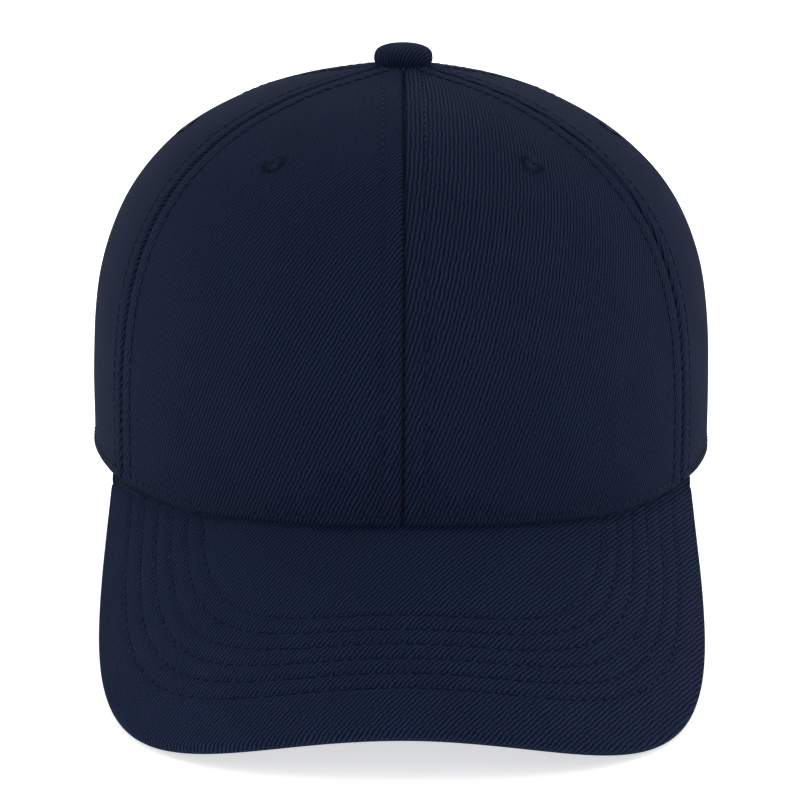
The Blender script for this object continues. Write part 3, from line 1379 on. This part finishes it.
class CapSettings(bpy.types.PropertyGroup):
    """The sizes and colours of the cap's cloth, thread and trim."""

    cloth_color: FloatVectorProperty(
        name="Cloth Colour", description="Colour of the crown's and the visor's twill", subtype="COLOR",
        size=3, min=0, max=1, default=(0.0080, 0.0135, 0.0345),
    )
    thread_color: FloatVectorProperty(
        name="Thread Colour", description="Colour of the topstitching thread", subtype="COLOR",
        size=3, min=0, max=1, default=(0.0050, 0.0090, 0.0240),
    )
    cloth_thickness: distance(
        "Cloth Thickness", "Thickness of the twill", 0.0009, 0.0003, 0.002
    )
    rib_spacing: distance(
        "Rib Spacing", "Distance from one diagonal twill rib to the next", 0.00105, 0.0003, 0.003
    )
    rib_angle: FloatProperty(
        name="Rib Angle", description="Slope of the crown's twill ribs from the level, in degrees",
        default=66.0, min=0.0, max=90.0,
    )
    seam_depth: distance(
        "Seam Depth", "How far the cloth turns in at each seam of the crown", 0.0013, 0.0, 0.003
    )
    topstitch_offset: distance(
        "Topstitch Offset", "Distance of the topstitching from its seam", 0.0056, 0.001, 0.01
    )
    hem_stitch_height: distance(
        "Hem Stitch Height", "Height of the hem's stitching above its edge", 0.0032, 0.001, 0.01
    )
    stitch_pitch: distance(
        "Stitch Pitch", "Distance from one stitch to the next", 0.0032, 0.001, 0.006
    )
    stitch_length: distance(
        "Stitch Length", "Length of the thread that shows in one stitch", 0.0027, 0.0008, 0.006
    )
    thread_thickness: distance(
        "Thread Thickness", "Thickness of the stitching thread", 0.00055, 0.0001, 0.002
    )
    tape_width: distance(
        "Tape Width", "Width of the tape over each seam's inside", 0.013, 0.005, 0.03
    )
    visor_side_inset: distance(
        "Visor Side Inset", "Distance of the outermost visor row from the visor's side",
        0.0098, 0.003, 0.03,
    )
    visor_front_inset: distance(
        "Visor Front Inset", "Distance of the outermost visor row from the visor's front",
        0.0153, 0.003, 0.03,
    )
    visor_stitch_rows_pitch: distance(
        "Visor Row Spacing", "Distance from one row of visor stitching to the next", 0.0049, 0.002, 0.01
    )
    visor_stitch_rows: IntProperty(
        name="Visor Rows", description="Number of rows of stitching on the visor",
        default=6, min=1, max=10,
    )
    eyelet_width: distance(
        "Eyelet Width", "Outer width of a sewn eyelet", 0.0076, 0.003, 0.012
    )
    eyelet_hole: distance(
        "Eyelet Hole", "Width of an eyelet's hole", 0.0012, 0.0005, 0.006
    )


class CAP_OT_materials(bpy.types.Operator):
    """Builds the cloth, thread, plastic and metal finishes and the stitch trees"""

    bl_idname = "cap.materials"
    bl_label = "Make Finishes"

    def execute(self, context):
        make_materials()
        stitch_tree()
        eyelet_tree()
        pad_hooks_tree()
        for node in ("button_shell", "button_washer", "button_prong"):
            model = bpy.data.objects[node]
            model.data.materials.clear()
            model.data.materials.append(finish("Pressed Steel"))
        return {"FINISHED"}


class CAP_OT_crown(bpy.types.Operator):
    """Makes the crown's six panels of twill and the two stiffeners behind the front ones"""

    bl_idname = "cap.crown"
    bl_label = "Make Crown"

    def execute(self, context):
        for place, middle in PANEL_MIDDLES.items():
            for side, sign in SIDES:
                piece = crown_panel(f"{place}_{side}_panel_cloth", sign * middle)
                piece = drill(piece, *eyelet_place(place, side))
                finish_piece(piece, "cap", "navy_twill", "Crown Twill", f"{place}_{side}_panel")
        for side, sign in SIDES:
            piece = stiffener(f"front_{side}_buckram_cloth", sign * PANEL_MIDDLES["front"])
            piece = drill(piece, *eyelet_place("front", side))
            finish_piece(piece, "cap", "white_buckram", "Buckram", f"front_{side}_buckram")
        return {"FINISHED"}


class CAP_OT_lining(bpy.types.Operator):
    """Makes the seam tapes, the sweatband and the blank care label inside the crown"""

    bl_idname = "cap.lining"
    bl_label = "Make Lining"

    def execute(self, context):
        piece = tape("seam_tape_centre_cloth", (0.0, 180.0), (6 * MM, SEAM_START), 9 * MM)
        finish_piece(piece, "cap", "navy_tape", "Seam Tape", "seam_tape_centre")
        for place, turn in (("front", 60.0), ("rear", 120.0)):
            for side, sign in SIDES:
                piece = tape(f"seam_tape_{place}_{side}_cloth", (sign * turn,), (3 * MM,), 9 * MM)
                finish_piece(piece, "cap", "navy_tape", "Seam Tape", f"seam_tape_{place}_{side}")
        band, core, thread, label = sweatband()
        finish_piece(band, "cap", "navy_band", "Sweatband Cotton", "sweatband_face")
        finish_piece(core, "cap", "band_core", "Band Felt", "sweatband_core")
        finish_piece(thread, "cap", "navy_thread", "Stitching Thread")
        finish_piece(label, "cap", "white_label", "Label Satin", "care_label")
        return {"FINISHED"}


class CAP_OT_stitching(bpy.types.Operator):
    """Sews the crown's topstitching and the stitching round its hem"""

    bl_idname = "cap.stitching"
    bl_label = "Sew Crown"

    def execute(self, context):
        cap = context.scene.cap_settings
        cloth = guide_cloth()
        paths = []
        for turn in (0, 60, 120, 180, -120, -60):
            for aside in (-cap.topstitch_offset, cap.topstitch_offset):
                low = SEAM_START if turn == 180 else None
                path, normal = seam_path(float(turn), aside, 0.0, low, 10 * MM)
                rise = path[:, 2] - (hem_height(np.array([float(turn)]))[0] if low is None else 0)
                start = cap.hem_stitch_height + 0.6 * MM if low is None else 0
                paths.append((path + 0.1 * MM * normal)[rise > start])
        piece = lay_stitches("crown_topstitching_thread", paths, cloth)
        finish_piece(piece, "cap", "navy_thread", "Stitching Thread", "crown_topstitching")
        end = 180 - math.degrees(math.asin((OPENING_HALF_WIDTH + 6 * MM) / HALF_WIDTH))
        azimuth = np.linspace(-end, end, 900)
        path, normal = crown_skin(azimuth, hem_height(azimuth) + cap.hem_stitch_height)
        piece = lay_stitches("hem_stitching_thread", [path + 0.1 * MM * normal], cloth)
        finish_piece(piece, "cap", "navy_thread", "Stitching Thread", "hem_stitching")
        bpy.data.objects.remove(cloth)
        return {"FINISHED"}


class CAP_OT_eyelets(bpy.types.Operator):
    """Sews the six eyelets"""

    bl_idname = "cap.eyelets"
    bl_label = "Sew Eyelets"

    def execute(self, context):
        places = [(place, side) for place in PANEL_MIDDLES for side, _ in SIDES]
        for seed, (place, side) in enumerate(places, 1):
            piece = sewn_eyelet(f"eyelet_{place}_{side}_thread", *eyelet_place(place, side), seed)
            finish_piece(piece, "cap", "navy_thread", "Stitching Thread", f"eyelet_{place}_{side}")
        return {"FINISHED"}


class CAP_OT_button(bpy.types.Operator):
    """Makes the button's gathered cloth"""

    bl_idname = "cap.button"
    bl_label = "Make Button"

    def execute(self, context):
        piece = button_cloth()
        finish_piece(piece, "cap", "navy_twill", "Crown Twill", "button_cover")
        return {"FINISHED"}


class CAP_OT_visor(bpy.types.Operator):
    """Makes the visor's covers and board and sews its rows of stitching"""

    bl_idname = "cap.visor"
    bl_label = "Make Visor"

    def execute(self, context):
        cap = context.scene.cap_settings
        top = visor_top()
        finish_piece(top, "cap", "navy_twill", "Visor Twill", "visor_top_cover")
        under = visor_under()
        finish_piece(under, "cap", "navy_twill", "Visor Twill", "visor_under_cover")
        board = visor_plate()
        finish_piece(board, "cap", "board_plastic", "Board Plastic", "visor_board")
        above, below = [], []
        for row in range(cap.visor_stitch_rows):
            across, ahead = stitch_outline(row)
            skin, normal = visor_skin(across, ahead)
            above.append(skin + 0.08 * MM * normal)
            below.append(visor_point(across, ahead, VISOR_THICKNESS) + 0.12 * MM * normal)
        piece = lay_stitches("visor_stitching_thread", above, top)
        finish_piece(piece, "cap", "navy_thread", "Stitching Thread", "visor_stitching")
        piece = lay_stitches("visor_under_stitching_thread", below, under)
        finish_piece(piece, "cap", "navy_thread", "Stitching Thread")
        return {"FINISHED"}


class CAP_OT_closure(bpy.types.Operator):
    """Makes the back opening's binding, the two straps and their hook and loop pads"""

    bl_idname = "cap.closure"
    bl_label = "Make Closure"

    def execute(self, context):
        piece, (path, normal, side) = binding()
        finish_piece(piece, "cap", "navy_twill", "Seam Tape", "rear_opening_binding")
        line = (path + 4.4 * MM * side + 0.72 * MM * normal)[2:-2]
        thread = lay_stitches("opening_binding_thread", [line], piece)
        finish_piece(thread, "cap", "navy_thread", "Stitching Thread")
        for which, (first, last, jog) in STRAPS.items():
            body = f"{which}_strap"
            strap, line = webbing(
                f"{body}_cloth", first, last, STRAP_INSET, jog, STRAP_WIDTH, STRAP_THICKNESS, STRAP_TIP
            )
            finish_piece(
                strap, None, "navy_twill", "Crown Twill",
                f"closure_strap_{which}", f"closure_strap_{which}_root",
            )
            path = border_path(line, 2.2 * MM, STRAP_THICKNESS / 2 + 0.08 * MM, STRAP_WIDTH, 14 * MM)
            thread = lay_stitches(f"{body}_thread", [path], strap)
            finish_piece(thread, None, "navy_thread", "Stitching Thread")
            for piece in (strap, thread):
                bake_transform(piece)
        backing, line = pad("hook_pad", 2.925 * MM)
        finish_piece(backing, "outer_strap", "hook_nylon", "Hook Nylon", "hook_pad")
        piece = bristles(
            "hook_pad_hooks", line, -0.24 * MM, 1.15 * MM, 0.3 * MM, 0.26 * MM, "Hook Nylon"
        )
        finish_piece(piece, "outer_strap", "hook_nylon", "Hook Nylon")
        backing, line = pad("loop_pad", 3.575 * MM)
        finish_piece(backing, "inner_strap", "loop_nylon", "Loop Pile", "loop_pad")
        piece = bristles("loop_pad_pile", line, 0.2 * MM, 0.75 * MM, 0.22 * MM, 0.5 * MM, "Loop Pile")
        finish_piece(piece, "inner_strap", "loop_nylon", "Loop Pile")
        return {"FINISHED"}


class CAP_OT_stage(bpy.types.Operator):
    """Sets out the floor, the soft lights and the camera"""

    bl_idname = "cap.stage"
    bl_label = "Set Stage"

    def execute(self, context):
        set_stage()
        return {"FINISHED"}


class CAP_PT_panel(bpy.types.Panel):
    """Lists the cap's sizes and colours and the steps that build it"""

    bl_idname = "CAP_PT_panel"
    bl_label = "Baseball Cap"
    bl_space_type = "VIEW_3D"
    bl_region_type = "UI"
    bl_category = "Cap"

    def draw(self, context):
        layout = self.layout
        for name in CapSettings.__annotations__:
            layout.prop(context.scene.cap_settings, name)
        for step in STEPS:
            layout.operator(step.bl_idname)


STEPS = (
    CAP_OT_materials, CAP_OT_crown, CAP_OT_lining, CAP_OT_stitching, CAP_OT_eyelets, CAP_OT_button,
    CAP_OT_visor, CAP_OT_closure, CAP_OT_stage,
)
CLASSES = (CapSettings,) + STEPS + (CAP_PT_panel,)


def register():
    for kind in CLASSES:
        bpy.utils.register_class(kind)
    bpy.types.Scene.cap_settings = PointerProperty(type=CapSettings)


def unregister():
    del bpy.types.Scene.cap_settings
    for kind in reversed(CLASSES):
        bpy.utils.unregister_class(kind)


def main():
    register()
    for step in STEPS:
        group, name = step.bl_idname.split(".")
        getattr(getattr(bpy.ops, group), name)()


if __name__ == "__main__":
    main()
